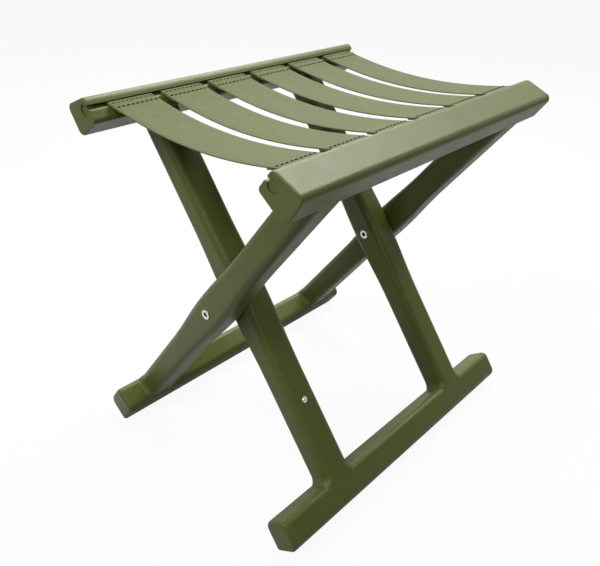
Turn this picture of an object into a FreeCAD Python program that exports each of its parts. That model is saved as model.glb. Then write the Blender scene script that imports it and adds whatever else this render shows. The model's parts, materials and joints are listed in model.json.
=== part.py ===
import FreeCAD, Part
import math
import os

# Folding stool: two crossed frames that turn on rivets, with a seat of webbing straps.
# All sizes are in millimetres. Z is up, Y runs along the rails, and the floor is at Z = 0.
# Each frame is drawn upright about the pivot: X across the leg, Z up the leg, and then leaned.

# Stance
LEAN = 37.15
LANDING_DEPTH = 0.7

# Legs
LEG_WIDTH = 23.0
LEG_THICKNESS = 26.8
LEG_EDGE = 6.0
LEG_GAP = 1.2
PIVOT_SWELL = 2.5
SWELL_REACH = 70.0
FLARE_RADIUS = 7.0
FLARE_TURN = 65.0
FACE_STEP = 0.8

# Top rails, measured up the leg from the pivot
RAIL_LENGTH = 295.0
RAIL_BOTTOM = 157.0
RAIL_OUTER_HEIGHT = 26.4
RAIL_INNER_HEIGHT = 19.9
RAIL_INNER_REACH = 15.6
RAIL_TAPER = 1.5
RAIL_TOP_OUTER_EDGE = 4.5
RAIL_TOP_INNER_EDGE = 5.5
RAIL_LOW_OUTER_EDGE = 6.0
RAIL_LOW_INNER_EDGE = 3.0
RAIL_END_EDGE = 1.2

# Floor bars, measured down the leg from the pivot
BAR_LENGTH = 298.5
BAR_OVERHANG = 25.0
BAR_TOP = 163.5
BAR_HEIGHT = 25.8
BAR_WIDTH = 25.25
BAR_STEP = 0.05
BAR_TOP_EDGE = 5.0
BAR_BACK_EDGE = 7.0
BAR_FRONT_EDGE = 8.0
BAR_LANDING_EDGE = 3.0
BAR_END_EDGE = 2.8

# Tenons of the legs
TENON_THICKNESS = 16.0
TENON_SIDE_WALL = 4.0
TENON_CHANNEL_WALL = 1.8
BAR_TENON_DEPTH = 14.0
RAIL_TENON_DEPTH = 12.0
TENON_ROOT = 4.0
TENON_FIT = 0.1

# Straps, their rods and the channel that holds them
STRAP_COUNT = 6
STRAP_WIDTH = 38.0
STRAP_FRONT_MARGIN = 16.0
STRAP_REAR_MARGIN = 7.0
STRAP_THICKNESS = 1.0
STRAP_SAG = 10.0
STRAP_BEND = 2.9
TAIL_LENGTH = 15.0
SOFT_GAP = 0.25
ROD_RADIUS = 3.0
PLUG_LENGTH = 5.0
PLUG_INSET = 0.8
PLUG_EDGE = 0.5
PLUG_FIT = 0.05
CHANNEL_INSET = 6.9
CHANNEL_HEIGHT = 12.2

# Pivot rivets and washers
RIVET_RADIUS = 3.0
RIVET_WALL = 1.0
RIVET_HEAD_RADIUS = 4.0
RIVET_HEAD_HEIGHT = 1.0
RIVET_ROLL = 0.45
RIVET_FIT = 0.05
WASHER_RADIUS = 8.0
AXIAL_FIT = 0.1

# Stud on the front inner leg
STUD_DROP = 95.5
STUD_HEAD_RADIUS = 2.6
STUD_HEAD_HEIGHT = 1.0
STUD_SHANK_RADIUS = 1.5
STUD_DEPTH = 12.0

# Sizes that follow from those above
TINY = 0.05
DIAGONAL = math.sqrt(0.5)
ORIGIN = FreeCAD.Vector(0, 0, 0)
X_AXIS = FreeCAD.Vector(1, 0, 0)
Y_AXIS = FreeCAD.Vector(0, 1, 0)
Z_AXIS = FreeCAD.Vector(0, 0, 1)
LEAN_SIN = math.sin(math.radians(LEAN))
LEAN_COS = math.cos(math.radians(LEAN))
FACE_REACH = LEG_WIDTH / 2 + FACE_STEP
OUTER_LEG_FACE = BAR_LENGTH / 2 - BAR_OVERHANG
OUTER_LEG_Y = OUTER_LEG_FACE - LEG_THICKNESS / 2
INNER_LEG_Y = OUTER_LEG_Y - LEG_THICKNESS - LEG_GAP
BAR_BOTTOM = BAR_TOP + BAR_HEIGHT
BAR_FRONT = LEG_WIDTH / 2 + BAR_STEP
BAR_OUTER = BAR_WIDTH - BAR_FRONT
STRAP_START = STRAP_FRONT_MARGIN - RAIL_LENGTH / 2
STRAP_SPAN = RAIL_LENGTH - STRAP_FRONT_MARGIN - STRAP_REAR_MARGIN
STRAP_PITCH = (STRAP_SPAN - STRAP_WIDTH) / (STRAP_COUNT - 1)
LOOP_INNER = ROD_RADIUS + SOFT_GAP
LOOP_OUTER = LOOP_INNER + STRAP_THICKNESS
CHANNEL_RADIUS = LOOP_OUTER + SOFT_GAP
CHANNEL_X = CHANNEL_INSET - RAIL_INNER_REACH
CHANNEL_Z = RAIL_BOTTOM + CHANNEL_HEIGHT
PLUG_Y = RAIL_LENGTH / 2 - PLUG_INSET - PLUG_LENGTH / 2
SLOT_HALF = STRAP_THICKNESS + SOFT_GAP
SHOULDER_EDGE = STRAP_BEND - SOFT_GAP
RIVET_BORE = RIVET_RADIUS + RIVET_FIT
FOOT_DEPTH = BAR_TOP_EDGE + LEG_EDGE
FLARE_ANGLE = math.radians(FLARE_TURN)
FOOT_HALF = LEG_THICKNESS / 2 + FLARE_RADIUS * (1 - math.cos(FLARE_ANGLE))
LANDING_X = BAR_OUTER - BAR_LANDING_EDGE
LANDING_Z = BAR_LANDING_EDGE - BAR_BOTTOM
PIVOT_HEIGHT = LANDING_X * LEAN_SIN - LANDING_Z * LEAN_COS + BAR_LANDING_EDGE - LANDING_DEPTH


def point(x, z):
    return FreeCAD.Vector(x, 0, z)


def leaned(x, z):
    """A point of the leaned outer frame, seen from the pivot."""
    return point(x * LEAN_COS + z * LEAN_SIN, z * LEAN_COS - x * LEAN_SIN)


def line(start, end):
    return Part.LineSegment(start, end).toShape()


def arc(start, middle, end):
    return Part.Arc(start, middle, end).toShape()


def rounded_outline(corners):
    """Closed wire through corners given as (x, z, radius), each rounded by its radius."""
    edges = []
    joints = []
    count = len(corners)
    for index, (x, z, radius) in enumerate(corners):
        corner = point(x, z)
        before = point(*corners[index - 1][:2]) - corner
        after = point(*corners[(index + 1) % count][:2]) - corner
        before.normalize()
        after.normalize()
        half = before.getAngle(after) / 2
        bisector = (before + after).normalize()
        reach = radius / math.tan(half)
        centre = corner + bisector * (radius / math.sin(half))
        start = corner + before * reach
        end = corner + after * reach
        joints.append((start, end))
        edges.append(arc(start, centre - bisector * radius, end))
    for index in range(count):
        edges.append(line(joints[index - 1][1], joints[index][0]))
    return Part.Wire(Part.__sortEdges__(edges))


def wall(wire, low_y, high_y):
    """Solid of a closed wire in the XZ plane, from one Y to another."""
    face = Part.Face(wire)
    face.translate(Y_AXIS * low_y)
    return face.extrude(Y_AXIS * (high_y - low_y))


def box(low, high):
    size = [b - a for a, b in zip(low, high)]
    return Part.makeBox(*size, FreeCAD.Vector(*low))


def round_bar(radius, x, z, low_y, high_y):
    """Cylinder along Y."""
    return Part.makeCylinder(radius, high_y - low_y, FreeCAD.Vector(x, low_y, z), Y_AXIS)


def place_outer(shape):
    """Lean an upright piece of the outer frame and lift it to the pivot's height."""
    placed = shape.copy()
    placed.rotate(ORIGIN, Y_AXIS, LEAN)
    placed.translate(Z_AXIS * PIVOT_HEIGHT)
    return placed


def place_inner(shape):
    """The same for the inner frame, which faces the other way round."""
    placed = place_outer(shape)
    placed.rotate(ORIGIN, Z_AXIS, 180)
    return placed


# Rails and floor bars

def with_round_ends(solid, radius):
    """Round the edges round both end faces of a bar that runs along Y."""
    ends = [edge for edge in solid.Edges if edge.BoundBox.YLength < TINY]
    return solid.makeFillet(radius, ends)


def rail_blank():
    """A rail's outside, before its channel and mortises."""
    outline = rounded_outline([
        (FACE_REACH, RAIL_BOTTOM, RAIL_LOW_OUTER_EDGE),
        (FACE_REACH - RAIL_TAPER, RAIL_BOTTOM + RAIL_OUTER_HEIGHT, RAIL_TOP_OUTER_EDGE),
        (-RAIL_INNER_REACH, RAIL_BOTTOM + RAIL_INNER_HEIGHT, RAIL_TOP_INNER_EDGE),
        (-RAIL_INNER_REACH, RAIL_BOTTOM, RAIL_LOW_INNER_EDGE),
    ])
    return with_round_ends(wall(outline, -RAIL_LENGTH / 2, RAIL_LENGTH / 2), RAIL_END_EDGE)


def strap_channel():
    """The round channel for the rod, and the slot whose lower edge the straps bend over."""
    end = RAIL_LENGTH / 2 + RAIL_END_EDGE
    face = -RAIL_INNER_REACH
    mouth = face - RAIL_END_EDGE
    bend_x = face + SHOULDER_EDGE
    bend_z = CHANNEL_Z - SLOT_HALF - SHOULDER_EDGE
    half_turn = SHOULDER_EDGE * DIAGONAL
    corners = [
        point(CHANNEL_X, CHANNEL_Z - SLOT_HALF),
        point(CHANNEL_X, CHANNEL_Z + SLOT_HALF),
        point(mouth, CHANNEL_Z + SLOT_HALF),
        point(mouth, bend_z),
        point(face, bend_z),
    ]
    edges = [line(a, b) for a, b in zip(corners, corners[1:])]
    over = point(bend_x, bend_z + SHOULDER_EDGE)
    edges.append(arc(corners[-1], point(bend_x - half_turn, bend_z + half_turn), over))
    edges.append(line(over, corners[0]))
    slot = wall(Part.Wire(edges), -end, end)
    return slot.fuse(round_bar(CHANNEL_RADIUS, CHANNEL_X, CHANNEL_Z, -end, end))


def bar_blank():
    """A floor bar's outside, before its mortises and its flat landing."""
    outline = rounded_outline([
        (-BAR_FRONT, -BAR_BOTTOM, BAR_FRONT_EDGE),
        (BAR_OUTER, -BAR_BOTTOM, BAR_LANDING_EDGE),
        (BAR_OUTER, -BAR_TOP, BAR_BACK_EDGE),
        (-BAR_FRONT, -BAR_TOP, BAR_TOP_EDGE),
    ])
    return with_round_ends(wall(outline, -BAR_LENGTH / 2, BAR_LENGTH / 2), BAR_END_EDGE)


def foot_pad():
    """The square corner of a floor bar under a leg, where the two front faces run on flush."""
    half = FOOT_HALF - LEG_EDGE
    depth = 2 * BAR_TOP_EDGE
    return box((-BAR_FRONT, -half, -BAR_TOP - depth), (depth - BAR_FRONT, half, -BAR_TOP))


def padded_bar(leg_y):
    """A floor bar's outside with a square corner under both legs."""
    pads = [foot_pad().translated(Y_AXIS * y) for y in (-leg_y, leg_y)]
    return bar_blank().fuse(pads).removeSplitter()


def tenon_span_in_rail():
    """Across the leg, from the channel's wall to the leg's outer wall."""
    return CHANNEL_X + CHANNEL_RADIUS + TENON_CHANNEL_WALL, LEG_WIDTH / 2 - TENON_SIDE_WALL


def tenon_span_in_bar():
    return TENON_SIDE_WALL - LEG_WIDTH / 2, LEG_WIDTH / 2 - TENON_SIDE_WALL


def tenon(span, low_z, high_z, fit):
    """A tenon about the leg's middle plane, or with some fit its mortise."""
    half = TENON_THICKNESS / 2 + fit
    return box((span[0] - fit, -half, low_z), (span[1] + fit, half, high_z))


def rail(leg_y):
    solid = rail_blank().cut(strap_channel())
    top = RAIL_BOTTOM + RAIL_TENON_DEPTH + TENON_FIT
    mortise = tenon(tenon_span_in_rail(), RAIL_BOTTOM - RAIL_LOW_OUTER_EDGE, top, TENON_FIT)
    for y in (-leg_y, leg_y):
        solid = solid.cut(mortise.translated(Y_AXIS * y))
    return solid


def floor_bar(leg_y):
    solid = padded_bar(leg_y)
    bottom = -BAR_TOP - BAR_TENON_DEPTH - TENON_FIT
    mortise = tenon(tenon_span_in_bar(), bottom, BAR_TOP_EDGE - BAR_TOP, TENON_FIT)
    for y in (-leg_y, leg_y):
        solid = solid.cut(mortise.translated(Y_AXIS * y))
    return solid


def cut_landing(solid):
    """Plane a placed floor bar flat where it stands on the floor."""
    reach = BAR_BOTTOM + BAR_WIDTH
    return solid.cut(box((-reach, -BAR_LENGTH, -reach), (reach, BAR_LENGTH, 0)))


# Legs

def swollen_side(sign):
    """One long edge of a leg's outline, bottom to top, swelling gently at the pivot."""
    half = LEG_WIDTH / 2
    low = -BAR_TOP - FOOT_DEPTH
    high = RAIL_BOTTOM + RAIL_LOW_OUTER_EDGE
    radius = (PIVOT_SWELL ** 2 + SWELL_REACH ** 2) / (4 * PIVOT_SWELL)
    quarter = SWELL_REACH / 4
    rise = radius - math.sqrt(radius ** 2 - quarter ** 2)
    middle = half + PIVOT_SWELL / 2
    knots = [
        point(sign * half, low),
        point(sign * half, -SWELL_REACH),
        point(sign * middle, -SWELL_REACH / 2),
        point(sign * middle, SWELL_REACH / 2),
        point(sign * half, SWELL_REACH),
        point(sign * half, high),
    ]
    return [
        line(knots[0], knots[1]),
        arc(knots[1], point(sign * (half + rise), quarter - SWELL_REACH), knots[2]),
        arc(knots[2], point(sign * (half + PIVOT_SWELL), 0), knots[3]),
        arc(knots[3], point(sign * (half + rise), SWELL_REACH - quarter), knots[4]),
        line(knots[4], knots[5]),
    ], knots


def leg_front_outline():
    right, right_knots = swollen_side(1)
    left, left_knots = swollen_side(-1)
    ends = [line(left_knots[0], right_knots[0]), line(left_knots[-1], right_knots[-1])]
    return Part.Wire(Part.__sortEdges__(right + left + ends))


def flared_side(sign):
    """One long edge of a leg seen from the side: straight, then flaring out to the floor bar."""
    half = LEG_THICKNESS / 2
    turn = FLARE_ANGLE
    start_z = FLARE_RADIUS * math.sin(turn) - BAR_TOP
    knots = [
        (half, RAIL_BOTTOM + RAIL_LOW_OUTER_EDGE),
        (half, start_z),
        (FOOT_HALF, -BAR_TOP),
        (FOOT_HALF + FOOT_DEPTH * math.tan(turn), -BAR_TOP - FOOT_DEPTH),
    ]
    middle = (
        half + FLARE_RADIUS * (1 - math.cos(turn / 2)),
        start_z - FLARE_RADIUS * math.sin(turn / 2),
    )
    places = [FreeCAD.Vector(0, sign * y, z) for y, z in knots]
    bend = FreeCAD.Vector(0, sign * middle[0], middle[1])
    edges = [line(places[0], places[1]), arc(places[1], bend, places[2]), line(places[2], places[3])]
    return edges, places


def leg_side_outline():
    right, right_places = flared_side(1)
    left, left_places = flared_side(-1)
    ends = [line(left_places[0], right_places[0]), line(left_places[-1], right_places[-1])]
    return Part.Wire(Part.__sortEdges__(right + left + ends))


def leg_blank():
    """A leg with rounded long edges, before its ends are fitted."""
    reach_x = LEG_WIDTH / 2 + PIVOT_SWELL
    reach_y = LEG_THICKNESS + FLARE_RADIUS + BAR_TOP
    from_front = wall(leg_front_outline(), -reach_y, reach_y)
    side_face = Part.Face(leg_side_outline())
    side_face.translate(X_AXIS * -2 * reach_x)
    solid = from_front.common(side_face.extrude(X_AXIS * 4 * reach_x))
    long_edges = [edge for edge in solid.Edges if edge.BoundBox.ZLength > TINY]
    return solid.makeFillet(LEG_EDGE, long_edges)


def between_bar_ends():
    """The space between the rounded ends of a floor bar, which a leg's flare keeps to."""
    reach = BAR_BOTTOM + RAIL_BOTTOM
    end = BAR_LENGTH / 2 - BAR_END_EDGE
    return box((-reach, -end, -reach), (reach, end, reach))


def leg(leg_y):
    """A leg at its place along the rail, coped to its rail and bar, with tenons and pivot bore."""
    solid = leg_blank().translated(Y_AXIS * leg_y).common(between_bar_ends())
    solid = solid.cut(rail_blank()).cut(padded_bar(leg_y))
    up = tenon(tenon_span_in_rail(), RAIL_BOTTOM - TENON_ROOT, RAIL_BOTTOM + RAIL_TENON_DEPTH, 0)
    down = tenon(tenon_span_in_bar(), -BAR_TOP - BAR_TENON_DEPTH, TENON_ROOT - BAR_TOP, 0)
    solid = solid.fuse([up.translated(Y_AXIS * leg_y), down.translated(Y_AXIS * leg_y)])
    reach = LEG_THICKNESS
    return solid.cut(round_bar(RIVET_BORE, 0, 0, leg_y - reach, leg_y + reach)).removeSplitter()


# Rods, plugs, rivets, washers and stud

def strap_rod():
    half = PLUG_Y - PLUG_LENGTH / 2 - AXIAL_FIT
    return round_bar(ROD_RADIUS, CHANNEL_X, CHANNEL_Z, -half, half)


def rod_plug(middle):
    """A short plug that closes one end of the channel and keeps the rod in."""
    half = PLUG_LENGTH / 2
    radius = CHANNEL_RADIUS - PLUG_FIT
    solid = round_bar(radius, CHANNEL_X, CHANNEL_Z, middle - half, middle + half)
    return with_round_ends(solid, PLUG_EDGE)


def turned(profile):
    """Solid of a profile of (radius, y) corners turned about the Y axis."""
    corners = [FreeCAD.Vector(radius, y, 0) for radius, y in profile]
    face = Part.Face(Part.makePolygon(corners + corners[:1]))
    return face.revolve(ORIGIN, Y_AXIS, 360)


def rivet():
    """A tubular rivet of the rear pivot, with a rolled rim at both ends."""
    hole = RIVET_RADIUS - RIVET_WALL
    inner_face = INNER_LEG_Y - LEG_THICKNESS / 2 - AXIAL_FIT
    inner_end = inner_face - RIVET_HEAD_HEIGHT
    outer_end = OUTER_LEG_FACE + RIVET_HEAD_HEIGHT
    solid = turned([
        (hole, inner_end),
        (RIVET_HEAD_RADIUS, inner_end),
        (RIVET_HEAD_RADIUS, inner_face),
        (RIVET_RADIUS, inner_face),
        (RIVET_RADIUS, OUTER_LEG_FACE),
        (RIVET_HEAD_RADIUS, OUTER_LEG_FACE),
        (RIVET_HEAD_RADIUS, outer_end),
        (hole, outer_end),
    ])
    rims = []
    for edge in solid.Edges:
        to_end = min(abs(edge.BoundBox.YMin - inner_end), abs(edge.BoundBox.YMax - outer_end))
        if to_end < TINY and edge.BoundBox.YLength < TINY:
            rims.append(edge)
    return solid.makeFillet(RIVET_ROLL, rims)


def washer():
    """The thin washer between the two legs of the rear pivot."""
    inner_face = INNER_LEG_Y + LEG_THICKNESS / 2 + AXIAL_FIT
    outer_face = OUTER_LEG_Y - LEG_THICKNESS / 2 - AXIAL_FIT
    ring = round_bar(WASHER_RADIUS, 0, 0, inner_face, outer_face)
    return ring.cut(round_bar(RIVET_BORE, 0, 0, inner_face - LEG_GAP, outer_face + LEG_GAP))


def stud_shank(fit, leg_y):
    start = FreeCAD.Vector(-LEG_WIDTH / 2 - fit, leg_y, -STUD_DROP)
    return Part.makeCylinder(STUD_SHANK_RADIUS + fit, STUD_DEPTH + 2 * fit, start, X_AXIS)


def stud(leg_y):
    """A domed head on the leg's upper face, with its shank in the leg."""
    dome_radius = (STUD_HEAD_RADIUS ** 2 + STUD_HEAD_HEIGHT ** 2) / (2 * STUD_HEAD_HEIGHT)
    face_x = -LEG_WIDTH / 2
    centre = FreeCAD.Vector(face_x - STUD_HEAD_HEIGHT + dome_radius, leg_y, -STUD_DROP)
    ball = Part.makeSphere(dome_radius, centre)
    reach = 2 * dome_radius
    outside = box(
        (face_x - reach, leg_y - reach, -STUD_DROP - reach),
        (face_x, leg_y + reach, reach - STUD_DROP),
    )
    return ball.common(outside).fuse(stud_shank(0, leg_y)).removeSplitter()


# Straps

def strap_half():
    """The points of a strap's outline on the outer rail's side, from the pivot, by name."""
    out = leaned(-1, 0)
    up = leaned(0, 1)
    rod = leaned(CHANNEL_X, CHANNEL_Z)
    neck = math.sqrt(LOOP_OUTER ** 2 - STRAP_THICKNESS ** 2)
    run = CHANNEL_INSET - SHOULDER_EDGE
    pole = rod + out * run - up * (STRAP_THICKNESS + STRAP_BEND)
    slope = 2 * math.atan(STRAP_SAG / pole.x)
    level = point(-math.sin(slope), math.cos(slope))
    between = (up + level).normalize()
    reach = pole.x / math.sin(slope)
    hub = pole + level * reach
    low = STRAP_BEND
    middle = STRAP_BEND + STRAP_THICKNESS
    high = STRAP_BEND + 2 * STRAP_THICKNESS
    tail = slope - TAIL_LENGTH / (reach - low)

    def on_seat(angle, height):
        return hub + point(math.sin(angle), -math.cos(angle)) * (reach - height)

    return {
        "rod": rod,
        "loop_top": rod + out * neck + up * STRAP_THICKNESS,
        "loop_back": rod - out * LOOP_OUTER,
        "loop_low": rod + out * neck - up * STRAP_THICKNESS,
        "neck_top": rod + out * run + up * STRAP_THICKNESS,
        "neck_low": rod + out * run - up * STRAP_THICKNESS,
        "bend_top": pole + between * high,
        "bend_low": pole + between * low,
        "seat_top": on_seat(slope, high),
        "seat_low": on_seat(slope, low),
        "tail_middle": on_seat((slope + tail) / 2, low),
        "tail_low": on_seat(tail, low),
        "tail_top": on_seat(tail, middle),
        "centre_top": on_seat(0, high),
        "centre_low": on_seat(0, middle),
    }


def mirrored(points):
    return {name: point(-place.x, place.z) for name, place in points.items()}


def strap_side(p):
    """Edges of one side: loop, neck, bend over the slot's edge and sewn tail."""
    return [
        line(p["neck_top"], p["loop_top"]),
        arc(p["loop_top"], p["loop_back"], p["loop_low"]),
        line(p["loop_low"], p["neck_low"]),
        arc(p["neck_top"], p["bend_top"], p["seat_top"]),
        arc(p["neck_low"], p["bend_low"], p["seat_low"]),
        arc(p["seat_low"], p["tail_middle"], p["tail_low"]),
        line(p["tail_low"], p["tail_top"]),
    ]


def strap(index):
    """A sagging strap with a loop round the rod at both ends."""
    right = strap_half()
    left = mirrored(right)
    edges = strap_side(right) + strap_side(left)
    edges.append(arc(right["seat_top"], right["centre_top"], left["seat_top"]))
    edges.append(arc(right["tail_top"], right["centre_low"], left["tail_top"]))
    outline = Part.Wire(Part.__sortEdges__(edges))
    front = STRAP_START + index * STRAP_PITCH
    rear = front + STRAP_WIDTH
    solid = wall(outline, front, rear)
    for side in (right, left):
        rod = side["rod"]
        solid = solid.cut(round_bar(LOOP_INNER, rod.x, rod.z, front - STRAP_WIDTH, rear + STRAP_WIDTH))
    return solid.translated(Z_AXIS * PIVOT_HEIGHT)


# Assembly

def outer_frame():
    nodes = {
        "outer_top_rail": place_outer(rail(OUTER_LEG_Y)),
        "outer_floor_bar": cut_landing(place_outer(floor_bar(OUTER_LEG_Y))),
        "outer_strap_rod": place_outer(strap_rod()),
        "outer_rod_plug_front": place_outer(rod_plug(-PLUG_Y)),
        "outer_rod_plug_rear": place_outer(rod_plug(PLUG_Y)),
        "outer_leg_front": place_outer(leg(-OUTER_LEG_Y)),
        "outer_leg_rear": place_outer(leg(OUTER_LEG_Y)),
    }
    lifted = rivet().translated(Z_AXIS * PIVOT_HEIGHT)
    spacer = washer().translated(Z_AXIS * PIVOT_HEIGHT)
    nodes["pivot_rivet_rear"] = lifted
    nodes["pivot_washer_rear"] = spacer
    for name, shape in (("pivot_rivet_front", lifted), ("pivot_washer_front", spacer)):
        turned_round = shape.copy()
        turned_round.rotate(ORIGIN, Z_AXIS, 180)
        nodes[name] = turned_round
    return nodes


def inner_frame():
    front_leg = leg(INNER_LEG_Y).cut(stud_shank(RIVET_FIT, INNER_LEG_Y))
    return {
        "inner_top_rail": place_inner(rail(INNER_LEG_Y)),
        "inner_floor_bar": cut_landing(place_inner(floor_bar(INNER_LEG_Y))),
        "inner_strap_rod": place_inner(strap_rod()),
        "inner_rod_plug_front": place_inner(rod_plug(PLUG_Y)),
        "inner_rod_plug_rear": place_inner(rod_plug(-PLUG_Y)),
        "inner_leg_front": place_inner(front_leg),
        "inner_leg_rear": place_inner(leg(-INNER_LEG_Y)),
        "leg_stud": place_inner(stud(INNER_LEG_Y)),
    }


def seat():
    return {"seat_strap_%d" % (index + 1): strap(index) for index in range(STRAP_COUNT)}


def main():
    os.makedirs("parts", exist_ok=True)
    nodes = {**outer_frame(), **inner_frame(), **seat()}
    for name, shape in nodes.items():
        shape.exportStep("parts/%s.step" % name)
        print("%-20s solids %d valid %s volume %.1f mm3" % (
            name, len(shape.Solids), shape.isValid(), shape.Volume))
    print("pivot height %.3f mm" % PIVOT_HEIGHT)


main()
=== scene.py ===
import json
import math
import random

import bmesh
import bpy
from mathutils import Matrix, Vector


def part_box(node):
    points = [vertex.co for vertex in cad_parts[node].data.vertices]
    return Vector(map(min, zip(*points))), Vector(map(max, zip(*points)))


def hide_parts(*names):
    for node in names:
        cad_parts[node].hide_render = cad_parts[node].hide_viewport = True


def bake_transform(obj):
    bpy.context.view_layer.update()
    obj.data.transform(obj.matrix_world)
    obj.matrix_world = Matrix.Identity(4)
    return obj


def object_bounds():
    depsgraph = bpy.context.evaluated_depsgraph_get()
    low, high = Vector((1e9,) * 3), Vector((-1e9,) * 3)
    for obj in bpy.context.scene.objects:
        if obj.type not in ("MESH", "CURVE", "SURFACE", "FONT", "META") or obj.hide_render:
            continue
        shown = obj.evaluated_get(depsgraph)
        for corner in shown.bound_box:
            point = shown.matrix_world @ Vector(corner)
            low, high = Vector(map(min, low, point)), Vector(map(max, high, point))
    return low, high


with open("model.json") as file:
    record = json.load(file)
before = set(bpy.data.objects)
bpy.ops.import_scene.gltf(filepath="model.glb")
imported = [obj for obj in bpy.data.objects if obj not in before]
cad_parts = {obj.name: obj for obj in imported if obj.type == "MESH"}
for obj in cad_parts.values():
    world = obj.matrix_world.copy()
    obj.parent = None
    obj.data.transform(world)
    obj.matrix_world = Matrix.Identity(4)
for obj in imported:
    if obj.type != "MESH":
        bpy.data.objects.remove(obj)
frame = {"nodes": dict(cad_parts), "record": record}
cad_low, cad_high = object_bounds()

# Looks of a folding stool: satin moulded frames, plated rivets and a seat of woven webbing.
# Lengths are in metres, angles in degrees and colours in linear light.
# The frames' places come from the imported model.

# Camera
CAMERA_PLACE = (0.3289, -0.3791, 0.4353)
CAMERA_AZIMUTH = 42.412
CAMERA_ELEVATION = 31.137
CAMERA_ROLL = 1.546
CAMERA_LENS_MM = 38.95

# Straps
STRAP_COUNT = 6
LEAN = 37.15
STRAP_THICKNESS = 0.001
LAYER_GAP = 0.00008
STRAP_SAG = 0.010
SHOULDER_RADIUS = 0.0029
NECK_RUN = 0.00425
LOOP_CLEARANCE = 0.00025
LOOP_OPENING = 45.0
TAIL_LENGTH = 0.015
SEAM_X = 0.066
SAG_VARIATION = 0.0006
EDGE_VARIATION = 0.0004
CROWN = 0.0002
VARIATION_SEED = 7
LOWER_LAYER = SHOULDER_RADIUS + STRAP_THICKNESS / 2
UPPER_LAYER = SHOULDER_RADIUS + STRAP_THICKNESS * 3 / 2

# Fineness of the straps' meshes
EDGE_ROUNDS = 3
ACROSS_STEPS = 14
FINE_STEP = 0.0006
SPAN_STEP = 0.003
END_STEP = SPAN_STEP / 3

# Stitching: each row has its distance from the middle and its thread's radius
STITCH_ROWS = ((0.0800, 0.00050), (0.0868, 0.00030))
STITCH_PITCH = 0.0040
STITCH_LENGTH = 0.0028
STITCH_MARGIN = 0.0022
STITCH_RISE = 0.00022
STITCH_SINK = 0.0003
STITCH_RINGS = 6
STITCH_SIDES = 6

# Noise: most of its values lie in this range
NOISE_LOW = 0.3
NOISE_HIGH = 0.7

# Moulded plastic: light colour, dark colour, and roughness from its glossiest to its dullest spots
PLASTICS = {
    "frame_plastic": ((0.100, 0.116, 0.023), (0.088, 0.103, 0.018), (0.34, 0.42)),
    "rod_plastic": ((0.094, 0.108, 0.022), (0.082, 0.095, 0.017), (0.42, 0.52)),
    "washer_plastic": ((0.032, 0.034, 0.026), (0.022, 0.024, 0.018), (0.5, 0.62)),
}
PLASTIC_IOR = 1.5
PLASTIC_GLOSS = 0.30
GRAZING_DULLNESS = 0.2
GRAZING_POWER = 4.0
CLOUD_SCALE = 22.0
FLOW_SCALE = 90.0
FLOW_ROUGHNESS = 0.6
FLOW_SHARE = 0.5
GRAIN_SCALE = 2400.0
PLASTIC_RELIEF = 0.00012
PLASTIC_RELIEF_STRENGTH = 0.35

# Plated steel
STEEL_DARK = (0.66, 0.65, 0.61)
STEEL_LIGHT = (0.80, 0.79, 0.76)
STEEL_ROUGHNESS = (0.30, 0.45)
STEEL_MARK_SCALE = 1800.0
STEEL_CLOUD_SCALE = 300.0
STEEL_RELIEF = 0.00003
STEEL_RELIEF_STRENGTH = 0.4

# Webbing
WARP_PITCH = 0.0016
WEFT_PITCH = 0.0013
UNDER_HEIGHT = 0.4
WEBBING_DARK = (0.097, 0.106, 0.038)
WEBBING_LIGHT = (0.139, 0.150, 0.060)
WEBBING_ROUGHNESS = (0.62, 0.8)
WEBBING_GLOSS = 0.15
WEBBING_SHEEN = 0.06
WEBBING_SHEEN_ROUGHNESS = 0.45
UNEVEN_SCALE = 160.0
STREAK_SCALE = 700.0
STREAK_STRETCH = 0.08
STREAK_SHARE = 0.5
FIBRE_SCALE = 3200.0
FIBRE_SHARE = 0.25
# Webbing colour: random mottle, plus painted light that makes the raised yarns lighter (painted highlight)
# and the hollows between them darker (painted shade)
MOTTLE_SHARE = 0.8
PAINTED_LIGHT_BY_HEIGHT = 0.3
MOTTLE_AND_PAINTED_LIGHT_RANGE = (0.2, 0.8)
WEAVE_RELIEF = 0.00016
WEAVE_RELIEF_STRENGTH = 0.5

# Sewing thread
THREAD_DARK = (0.010, 0.011, 0.007)
THREAD_LIGHT = (0.035, 0.037, 0.022)
THREAD_ROUGHNESS = (0.5, 0.75)
THREAD_GLOSS = 0.1
THREAD_TWIST_SCALE = 2600.0
THREAD_RELIEF = 0.0001
THREAD_RELIEF_STRENGTH = 0.5

# Floor
FLOOR_SIZE = 16.0
FLOOR_SEGMENTS = 8
FLOOR_PALE = (0.78, 0.78, 0.77)
FLOOR_PALER = (0.80, 0.80, 0.79)
FLOOR_TONE_SCALE = 3.0
FLOOR_DULL = (0.06, 0.06, 0.058, 1.0)
FLOOR_GLOW = 0.93
FLOOR_REFLECTED_GLOW = 0.2

# Surroundings
WHITE = (1.0, 1.0, 1.0, 1.0)
FILL_STRENGTH = 0.08
BRIGHT_SIDE = (-0.75, 0.66, 0.0)
BRIGHT_EDGE = 0.3
DIM_SIDE_GLOW = 0.3

# Lamps: name, place, width and height, and watts
LAMPS = (
    ("back", (-0.3, 0.72, 1.35), (1.4, 0.4), 23.0),
    ("left_strip", (-0.9, 0.8, 0.72), (0.6, 0.4), 3.5),
    ("front_key", (-0.15, -0.75, 0.95), (0.5, 0.5), 6.8),
    ("side_key", (0.85, -0.55, 1.0), (0.5, 0.5), 3.5),
)


# Node helpers

def new_material(name):
    material = bpy.data.materials.new(name)
    material.use_nodes = True
    tree = material.node_tree
    tree.nodes.clear()
    return material, tree


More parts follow.
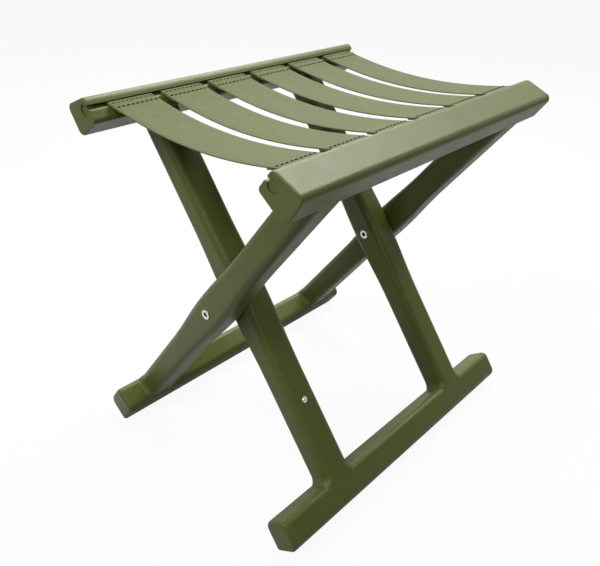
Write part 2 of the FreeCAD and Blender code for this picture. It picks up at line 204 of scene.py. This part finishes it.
def add_node(tree, kind, inputs=None, **settings):
    """A node with some settings, and inputs that are plain values or other nodes' outputs."""
    made = tree.nodes.new(kind)
    for name, value in settings.items():
        setattr(made, name, value)
    for name, value in (inputs or {}).items():
        if isinstance(value, bpy.types.NodeSocket):
            tree.links.new(value, made.inputs[name])
        else:
            made.inputs[name].default_value = value
    return made


def math_node(tree, operation, first, second=0.0, third=0.0):
    made = add_node(tree, "ShaderNodeMath", {0: first, 1: second, 2: third}, operation=operation)
    return made.outputs[0]


def noise(tree, vector, scale, detail=2.0, roughness=0.5):
    made = add_node(tree, "ShaderNodeTexNoise", {
        "Vector": vector, "Scale": scale, "Detail": detail, "Roughness": roughness})
    return made.outputs["Fac"]


def between(tree, value, low, high, source_low=NOISE_LOW, source_high=NOISE_HIGH):
    """A value from low to high as the source goes over its range."""
    made = add_node(tree, "ShaderNodeMapRange", {
        "Value": value, "From Min": source_low, "From Max": source_high, "To Min": low, "To Max": high})
    return made.outputs["Result"]


def mixed_colour(tree, share, first, second):
    """The first colour where the share is zero, and the second where it is one."""
    made = add_node(tree, "ShaderNodeMix", data_type="RGBA")
    tree.links.new(share, made.inputs["Factor"])
    for name, colour in (("A", first), ("B", second)):
        socket = next(s for s in made.inputs if s.name == name and s.type == "RGBA")
        socket.default_value = (*colour, 1.0)
    return next(s for s in made.outputs if s.type == "RGBA")


def mixed_shader(tree, share, first, second):
    """The first shader where the share is zero, and the second where it is one."""
    return add_node(tree, "ShaderNodeMixShader", {0: share, 1: first.outputs[0], 2: second.outputs[0]})


def bump(tree, height, distance, strength):
    made = add_node(tree, "ShaderNodeBump", {"Height": height, "Distance": distance, "Strength": strength})
    return made.outputs["Normal"]


def finish_material(tree, colour, roughness, normal, **constants):
    """A Principled shader. Constant values are set on its own sockets."""
    shader = add_node(tree, "ShaderNodeBsdfPrincipled", {
        "Base Color": colour, "Roughness": roughness, "Normal": normal})
    for name, value in constants.items():
        shader.inputs[name.replace("_", " ")].default_value = value
    output = add_node(tree, "ShaderNodeOutputMaterial")
    tree.links.new(shader.outputs["BSDF"], output.inputs["Surface"])


# Materials

def moulded_plastic(name, light, dark, roughness_range):
    """Satin moulded plastic: cloudy colour, a fine grain, faint flow marks and duller edges."""
    material, tree = new_material(name)
    place = add_node(tree, "ShaderNodeTexCoord").outputs["Object"]
    clouds = noise(tree, place, CLOUD_SCALE, detail=3.0)
    flow = noise(tree, place, FLOW_SCALE, detail=4.0, roughness=FLOW_ROUGHNESS)
    grain = noise(tree, place, GRAIN_SCALE)
    colour = mixed_colour(tree, between(tree, clouds, 0.0, 1.0), dark, light)
    facing = add_node(tree, "ShaderNodeLayerWeight").outputs["Facing"]
    grazing = math_node(tree, "POWER", facing, GRAZING_POWER)
    even = between(tree, flow, *roughness_range)
    roughness = math_node(tree, "MULTIPLY_ADD", grazing, GRAZING_DULLNESS, even)
    height = math_node(tree, "MULTIPLY_ADD", flow, FLOW_SHARE, grain)
    normal = bump(tree, height, PLASTIC_RELIEF, PLASTIC_RELIEF_STRENGTH)
    finish_material(
        tree, colour, roughness, normal,
        IOR=PLASTIC_IOR, Specular_IOR_Level=PLASTIC_GLOSS)
    return material


def plated_steel():
    """Bright plating with fine turning marks."""
    material, tree = new_material("plated_steel")
    place = add_node(tree, "ShaderNodeTexCoord").outputs["Object"]
    marks = noise(tree, place, STEEL_MARK_SCALE, detail=3.0)
    clouds = noise(tree, place, STEEL_CLOUD_SCALE)
    colour = mixed_colour(tree, between(tree, clouds, 0.0, 1.0), STEEL_DARK, STEEL_LIGHT)
    roughness = between(tree, marks, *STEEL_ROUGHNESS)
    normal = bump(tree, marks, STEEL_RELIEF, STEEL_RELIEF_STRENGTH)
    finish_material(tree, colour, roughness, normal, Metallic=1.0)
    return material


def yarn_arches(tree, yarns):
    """Round humps, one over each yarn."""
    angle = math_node(tree, "MULTIPLY", yarns, math.pi)
    return math_node(tree, "ABSOLUTE", math_node(tree, "SINE", angle))


def weave_height(tree, across, along):
    """Height of a plain weave: warp and weft yarns that pass over each other in turn."""
    warp = math_node(tree, "DIVIDE", across, WARP_PITCH)
    weft = math_node(tree, "DIVIDE", along, WEFT_PITCH)
    arches = math_node(tree, "MULTIPLY", yarn_arches(tree, warp), yarn_arches(tree, weft))
    column = math_node(tree, "FLOOR", warp)
    row = math_node(tree, "FLOOR", weft)
    turn = math_node(tree, "PINGPONG", math_node(tree, "ADD", column, row), 1.0)
    over = math_node(tree, "MULTIPLY_ADD", turn, 1 - UNDER_HEIGHT, UNDER_HEIGHT)
    return math_node(tree, "MULTIPLY", arches, over)


def weave_mottle(tree, place):
    """Uneven patches and streaks along the strap."""
    uneven = noise(tree, place, UNEVEN_SCALE, detail=3.0)
    stretched = add_node(tree, "ShaderNodeMapping", {
        "Vector": place, "Scale": (1.0, STREAK_STRETCH, 1.0)})
    streaks = noise(tree, stretched.outputs["Vector"], STREAK_SCALE)
    patches = math_node(tree, "MULTIPLY", uneven, 1 - STREAK_SHARE)
    return math_node(tree, "MULTIPLY_ADD", streaks, STREAK_SHARE, patches)


def woven_webbing():
    """Flat woven webbing with a dull sheen and mottled colour; the raised yarns are painted lighter and
    the hollows between them darker, as painted highlight and painted shade.
    """
    material, tree = new_material("woven_webbing")
    place = add_node(tree, "ShaderNodeUVMap", uv_map="weave").outputs["UV"]
    parts = add_node(tree, "ShaderNodeSeparateXYZ", {"Vector": place})
    height = weave_height(tree, parts.outputs["X"], parts.outputs["Y"])
    fibre = noise(tree, place, FIBRE_SCALE)
    # Painted light and shade: the weave's height makes raised yarns lighter and hollows darker, added to
    # the random mottle
    raised = math_node(tree, "MULTIPLY", height, PAINTED_LIGHT_BY_HEIGHT)
    mottle_and_painted_light = math_node(tree, "MULTIPLY_ADD", weave_mottle(tree, place), MOTTLE_SHARE, raised)
    colour = mixed_colour(tree, between(tree, mottle_and_painted_light, 0.0, 1.0, *MOTTLE_AND_PAINTED_LIGHT_RANGE), WEBBING_DARK, WEBBING_LIGHT)
    roughness = between(tree, fibre, *WEBBING_ROUGHNESS)
    relief = math_node(tree, "MULTIPLY_ADD", fibre, FIBRE_SHARE, height)
    normal = bump(tree, relief, WEAVE_RELIEF, WEAVE_RELIEF_STRENGTH)
    finish_material(
        tree, colour, roughness, normal,
        Sheen_Weight=WEBBING_SHEEN, Sheen_Roughness=WEBBING_SHEEN_ROUGHNESS,
        Specular_IOR_Level=WEBBING_GLOSS)
    return material


def sewing_thread():
    """Dark twisted thread."""
    material, tree = new_material("sewing_thread")
    place = add_node(tree, "ShaderNodeUVMap", uv_map="weave").outputs["UV"]
    twist = noise(tree, place, THREAD_TWIST_SCALE)
    colour = mixed_colour(tree, between(tree, twist, 0.0, 1.0), THREAD_DARK, THREAD_LIGHT)
    roughness = between(tree, twist, *THREAD_ROUGHNESS)
    normal = bump(tree, twist, THREAD_RELIEF, THREAD_RELIEF_STRENGTH)
    finish_material(tree, colour, roughness, normal, Specular_IOR_Level=THREAD_GLOSS)
    return material


# Strap outlines, drawn in the XZ plane on the outer rail's side

def middle_of(node):
    low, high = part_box(node)
    return (low + high) / 2


def flat(x, z):
    return Vector((x, 0.0, z))


class StrapLine:
    """The places that a strap passes: rod, slot, shoulder and the sagging seat."""

    def __init__(self, sag):
        lean = math.radians(LEAN)
        rod_low, rod_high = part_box("outer_strap_rod")
        self.out = flat(-math.cos(lean), math.sin(lean))
        self.up = flat(math.sin(lean), math.cos(lean))
        self.rod = middle_of("outer_strap_rod")
        self.rod.y = 0.0
        self.loop = (rod_high.x - rod_low.x) / 2 + LOOP_CLEARANCE + STRAP_THICKNESS / 2
        self.pole = self.rod + self.out * NECK_RUN - self.up * (STRAP_THICKNESS + SHOULDER_RADIUS)
        self.slope = 2 * math.atan(sag / self.pole.x)
        self.level = flat(-math.sin(self.slope), math.cos(self.slope))
        self.reach = self.pole.x / math.sin(self.slope)
        self.hub = self.pole + self.level * self.reach

    def seat(self, start, end, height, step):
        """The sagging part at a height over the shoulder's centre, from one X to another."""
        radius = self.reach - height
        first = math.asin(start / radius)
        last = math.asin(end / radius)
        count = max(2, math.ceil(abs(last - first) * radius / step))
        angles = [first + (last - first) * index / count for index in range(count + 1)]
        return [self.hub + flat(math.sin(a), -math.cos(a)) * radius for a in angles]

    def shoulder(self, height):
        """The bend over the slot's lower edge, from the seat towards the slot."""
        turn = self.level.angle(self.up)
        count = math.ceil(turn * height / FINE_STEP)
        points = []
        for index in range(count + 1):
            share = index / count
            part = math.sin((1 - share) * turn) * self.level + math.sin(share * turn) * self.up
            points.append(self.pole + part * (height / math.sin(turn)))
        return points

    def loop_round_rod(self):
        """The loop behind the rod, from below its opening to above it."""
        start = math.radians(LOOP_OPENING)
        sweep = 2 * math.pi - 2 * start
        count = math.ceil(sweep * self.loop / FINE_STEP)
        points = []
        for index in range(count + 1):
            angle = -start - sweep * index / count
            spoke = self.out * math.cos(angle) + self.up * math.sin(angle)
            points.append(self.rod + spoke * self.loop)
        return points


def end_path(line):
    """The strap's end: from the sewn tail under the seat, round the rod and back out to the seam."""
    lip_low = line.pole.x - math.sin(line.slope) * LOWER_LAYER
    lip_high = line.pole.x - math.sin(line.slope) * UPPER_LAYER
    tail_x = lip_low - TAIL_LENGTH * math.cos(line.slope)
    path = line.seat(tail_x, lip_low, LOWER_LAYER, END_STEP)
    path += line.shoulder(LOWER_LAYER)[1:]
    path += line.loop_round_rod()
    path += line.shoulder(UPPER_LAYER)[::-1]
    path += line.seat(lip_high, SEAM_X, UPPER_LAYER, END_STEP)[1:]
    return path


def span_path(line):
    """The strap between its two seams."""
    return line.seat(SEAM_X, -SEAM_X, UPPER_LAYER, SPAN_STEP)


def mirrored(path):
    return [flat(-place.x, place.z) for place in path]


def stations_along(path):
    """How far along a path each of its points lies."""
    stations = [0.0]
    for first, second in zip(path, path[1:]):
        stations.append(stations[-1] + (second - first).length)
    return stations


def path_normals(path):
    """Unit normals to a path in the XZ plane."""
    normals = []
    for index in range(len(path)):
        before = path[max(index - 1, 0)]
        after = path[min(index + 1, len(path) - 1)]
        along = (after - before).normalized()
        normals.append(flat(along.z, -along.x))
    return normals


# Strap meshes

def new_object(name, mesh):
    data = bpy.data.meshes.new(name)
    mesh.to_mesh(data)
    mesh.free()
    made = bpy.data.objects.new(name, data)
    bpy.context.scene.collection.objects.link(made)
    return made


def section(width):
    """Outline of a strap's cross section as (across, height), with rounded selvedges."""
    half_height = (STRAP_THICKNESS - LAYER_GAP) / 2
    half_width = width / 2 - half_height
    rows = []
    for index in range(ACROSS_STEPS + 1):
        across = -half_width + 2 * half_width * index / ACROSS_STEPS
        rows.append((across, half_height))
    turn = math.pi / (EDGE_ROUNDS + 1)
    rounds = [math.pi / 2 - turn * (index + 1) for index in range(EDGE_ROUNDS)]
    right = [(half_width + math.cos(a) * half_height, math.sin(a) * half_height) for a in rounds]
    top = rows + right
    return top + [(-across, -height) for across, height in top]


def add_sides(mesh, weave, rings, outline, stations):
    """The strap's skin between its rings, with its weave map."""
    count = len(outline)
    for index in range(len(rings) - 1):
        for side in range(count):
            after = (side + 1) % count
            corners = ((index, side), (index, after), (index + 1, after), (index + 1, side))
            face = mesh.faces.new([rings[ring][spot] for ring, spot in corners])
            face.smooth = True
            for loop, (ring, spot) in zip(face.loops, corners):
                loop[weave].uv = (outline[spot][0], stations[ring])


def add_cap(mesh, weave, ring, outline, station):
    """A flat end with crisp edges."""
    cap = mesh.faces.new(ring)
    for loop, (across, height) in zip(cap.loops, outline):
        loop[weave].uv = (across, station + height)
    for edge in cap.edges:
        edge.smooth = False


def swept_strap(name, path, middle_y, width, wobble):
    """A closed strap along a path, with a weave map measured in metres."""
    outline = section(width)
    stations = stations_along(path)
    mesh = bmesh.new()
    weave = mesh.loops.layers.uv.new("weave")
    rings = []
    for place, normal in zip(path, path_normals(path)):
        shift, lift = wobble(place.x)
        ring = []
        for across, height in outline:
            crown = CROWN * lift * (1 - (2 * across / width) ** 2)
            aside = Vector((0.0, middle_y + across + shift, 0.0))
            ring.append(mesh.verts.new(place + normal * (height + crown) + aside))
        rings.append(ring)
    add_sides(mesh, weave, rings, outline, stations)
    add_cap(mesh, weave, rings[0], outline, stations[0])
    add_cap(mesh, weave, rings[-1], outline, stations[-1])
    bmesh.ops.recalc_face_normals(mesh, faces=mesh.faces)
    return new_object(name, mesh)


# Stitches

def surface_at(path, x, side):
    """Place and outward normal where the path's seat crosses an X, on its upper or lower face."""
    pairs = [(a, b) for a, b in zip(path, path[1:]) if min(a.x, b.x) <= x <= max(a.x, b.x)]
    first, second = max(pairs, key=lambda pair: pair[0].z * side)
    place = first + (second - first) * ((x - first.x) / (second.x - first.x))
    along = (second - first).normalized()
    normal = flat(-along.z, along.x)
    if normal.z * side < 0:
        normal = -normal
    return place + normal * (STRAP_THICKNESS / 2), normal


def stitch_ring(mesh, centre, normal, radius):
    """A ring of points round the thread, which lies along Y."""
    across = Vector((0.0, 1.0, 0.0)).cross(normal)
    ring = []
    for side in range(STITCH_SIDES):
        angle = 2 * math.pi * side / STITCH_SIDES
        spoke = across * math.cos(angle) + normal * math.sin(angle)
        ring.append(mesh.verts.new(centre + spoke * radius))
    return ring


def add_stitch(mesh, weave, middle, normal, radius):
    """One stitch: a thread that rises out of the webbing, lies along Y and goes back in."""
    rings = []
    for index in range(STITCH_RINGS + 1):
        share = index / STITCH_RINGS
        arch = math.sin(math.pi * share)
        height = STITCH_RISE * arch - STITCH_SINK * (1 - arch)
        along = Vector((0.0, STITCH_LENGTH * (share - 1 / 2), 0.0))
        rings.append(stitch_ring(mesh, middle + normal * height + along, normal, radius))
    faces = [mesh.faces.new(rings[0]), mesh.faces.new(rings[-1])]
    for first, second in zip(rings, rings[1:]):
        for side in range(STITCH_SIDES):
            after = (side + 1) % STITCH_SIDES
            faces.append(mesh.faces.new((first[side], first[after], second[after], second[side])))
    for face in faces:
        face.smooth = True
        for loop in face.loops:
            loop[weave].uv = (loop.vert.co.y, loop.vert.co.x)


def stitching(name, path, direction, middle_y, width):
    """Rows of stitches through both layers, seen on the upper and the lower face."""
    mesh = bmesh.new()
    weave = mesh.loops.layers.uv.new("weave")
    reach = width / 2 - STITCH_MARGIN
    count = int(2 * reach / STITCH_PITCH)
    for row, radius in STITCH_ROWS:
        for side in (1, -1):
            place, normal = surface_at(path, direction * row, side)
            for index in range(count + 1):
                y = middle_y + (index - count / 2) * STITCH_PITCH
                add_stitch(mesh, weave, place + Vector((0.0, y, 0.0)), normal, radius)
    bmesh.ops.recalc_face_normals(mesh, faces=mesh.faces)
    return new_object(name, mesh)


# Seat

def still(x):
    """No drift and no crown anywhere."""
    return 0.0, 0.0


def gentle_wobble(shift):
    """A strap's small sideways drift and crown, both fading out at the seams."""
    def wobble(x):
        fade = (1 - (x / SEAM_X) ** 2) ** 2
        return shift * fade, fade
    return wobble


class Strap:
    """One strap of the seat: a span between two seams, and a sewn loop at each end."""

    def __init__(self, number, chance):
        self.number = number
        self.node = "seat_strap_%d" % number
        low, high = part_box(self.node)
        self.width = high.y - low.y
        self.middle_y = (low.y + high.y) / 2
        self.line = StrapLine(STRAP_SAG + chance.uniform(-SAG_VARIATION, SAG_VARIATION))
        self.wobble = gentle_wobble(chance.uniform(-EDGE_VARIATION, EDGE_VARIATION))

    def share_out(self, piece):
        """The piece's placement is baked into its mesh."""
        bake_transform(piece)

    def finish(self, piece, webbing, path, holders):
        piece.data.materials.append(webbing)
        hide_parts(self.node)

    def build_span(self, webbing):
        """The span between the two seams, where the ends leave off."""
        path = span_path(self.line)
        name = "strap_%d_span" % self.number
        span = swept_strap(name, path, self.middle_y, self.width, self.wobble)
        self.share_out(span)
        self.finish(span, webbing, path, ["outer_strap_rod", "inner_strap_rod"])

    def build_end(self, side, direction, webbing, thread):
        """A loop and its stitches, on the outer rail's side or mirrored to the inner rail's."""
        path = end_path(self.line)
        if direction < 0:
            path = mirrored(path)
        name = "strap_%d_%s" % (self.number, side)
        loop = swept_strap(name + "_loop", path, self.middle_y, self.width, still)
        self.share_out(loop)
        self.finish(loop, webbing, path, ["%s_strap_rod" % side])
        rows = stitching(name + "_stitches", path, direction, self.middle_y, self.width)
        rows.data.materials.append(thread)
        self.share_out(rows)


def build_seat():
    webbing = woven_webbing()
    thread = sewing_thread()
    chance = random.Random(VARIATION_SEED)
    for index in range(STRAP_COUNT):
        strap = Strap(index + 1, chance)
        strap.build_span(webbing)
        strap.build_end("outer", 1, webbing, thread)
        strap.build_end("inner", -1, webbing, thread)


# Frames

def dress_frames():
    """Every solid of the frames gets its finish. The straps' solids are replaced, so they get none."""
    finishes = {slot: moulded_plastic(slot, *looks) for slot, looks in PLASTICS.items()}
    finishes["rivet_steel"] = plated_steel()
    for part in frame["record"]["subparts"]:
        finish = finishes.get(part["material_slot"])
        if finish is None:
            continue
        solid = frame["nodes"][part["node"]]
        solid.data.materials.clear()
        solid.data.materials.append(finish)


# Stage, light and camera

def camera_ray(tree):
    return add_node(tree, "ShaderNodeLightPath").outputs["Is Camera Ray"]


def seen_ray(tree):
    """One for what the camera sees, straight, in a reflection or through something clear."""
    path = add_node(tree, "ShaderNodeLightPath")
    seen = math_node(tree, "MAXIMUM", path.outputs["Is Camera Ray"], path.outputs["Is Glossy Ray"])
    return math_node(tree, "MAXIMUM", seen, path.outputs["Is Transmission Ray"])


def floor_material():
    """A pale floor that looks nearly white, keeps a soft shadow and throws little light back."""
    material, tree = new_material("pale_floor")
    place = add_node(tree, "ShaderNodeTexCoord").outputs["Object"]
    tone = between(tree, noise(tree, place, FLOOR_TONE_SCALE), 0.0, 1.0)
    pale = mixed_colour(tree, tone, FLOOR_PALE, FLOOR_PALER)
    dull = add_node(tree, "ShaderNodeBsdfDiffuse", {"Color": FLOOR_DULL})
    lit = add_node(tree, "ShaderNodeBsdfDiffuse", {"Color": pale})
    glow = add_node(tree, "ShaderNodeEmission", {"Color": WHITE, "Strength": 1.0})
    share = between(tree, camera_ray(tree), FLOOR_REFLECTED_GLOW, FLOOR_GLOW, 0.0, 1.0)
    shown = mixed_shader(tree, share, lit, glow)
    mixed = mixed_shader(tree, seen_ray(tree), dull, shown)
    output = add_node(tree, "ShaderNodeOutputMaterial")
    tree.links.new(mixed.outputs[0], output.inputs["Surface"])
    return material


def build_floor():
    mesh = bmesh.new()
    bmesh.ops.create_grid(
        mesh, x_segments=FLOOR_SEGMENTS, y_segments=FLOOR_SEGMENTS, size=FLOOR_SIZE / 2)
    floor = new_object("floor", mesh)
    floor.data.materials.append(floor_material())


def build_world():
    """White surroundings, dimmer in reflections from the camera's side, and a faint fill light."""
    world = bpy.data.worlds.new("studio")
    bpy.context.scene.world = world
    world.use_nodes = True
    tree = world.node_tree
    tree.nodes.clear()
    fill = add_node(tree, "ShaderNodeBackground", {"Color": WHITE, "Strength": FILL_STRENGTH})
    way = add_node(tree, "ShaderNodeTexCoord").outputs["Generated"]
    along = add_node(tree, "ShaderNodeVectorMath", {0: way, 1: BRIGHT_SIDE}, operation="DOT_PRODUCT")
    behind = between(tree, along.outputs["Value"], DIM_SIDE_GLOW, 1.0, -BRIGHT_EDGE, BRIGHT_EDGE)
    strength = math_node(tree, "MAXIMUM", behind, camera_ray(tree))
    white = add_node(tree, "ShaderNodeBackground", {"Color": WHITE, "Strength": strength})
    mixed = mixed_shader(tree, seen_ray(tree), fill, white)
    output = add_node(tree, "ShaderNodeOutputWorld")
    tree.links.new(mixed.outputs[0], output.inputs["Surface"])


def soft_light(name, place, aim, size, watts):
    light = bpy.data.lights.new(name, "AREA")
    light.shape = "RECTANGLE"
    light.size, light.size_y = size
    light.energy = watts
    lamp = bpy.data.objects.new(name, light)
    bpy.context.scene.collection.objects.link(lamp)
    lamp.location = place
    lamp.rotation_euler = (Vector(aim) - Vector(place)).to_track_quat("-Z", "Y").to_euler()


def build_lights():
    middle = (cad_low + cad_high) / 2
    for name, place, size, watts in LAMPS:
        soft_light(name, place, middle, size, watts)


def build_camera():
    azimuth = math.radians(CAMERA_AZIMUTH)
    elevation = math.radians(CAMERA_ELEVATION)
    roll = math.radians(CAMERA_ROLL)
    back = Vector((
        math.cos(elevation) * math.sin(azimuth),
        -math.cos(elevation) * math.cos(azimuth),
        math.sin(elevation)))
    level = Vector((math.cos(azimuth), math.sin(azimuth), 0.0))
    upright = back.cross(level)
    right = level * math.cos(roll) + upright * math.sin(roll)
    up = upright * math.cos(roll) - level * math.sin(roll)
    lens = bpy.data.cameras.new("camera")
    lens.lens = CAMERA_LENS_MM
    camera = bpy.data.objects.new("camera", lens)
    bpy.context.scene.collection.objects.link(camera)
    turn = Matrix((right, up, back)).transposed().to_4x4()
    camera.matrix_world = Matrix.Translation(CAMERA_PLACE) @ turn
    bpy.context.scene.camera = camera


dress_frames()
build_seat()
build_floor()
build_world()
build_lights()
build_camera()
bpy.context.scene.view_settings.view_transform = "Standard"
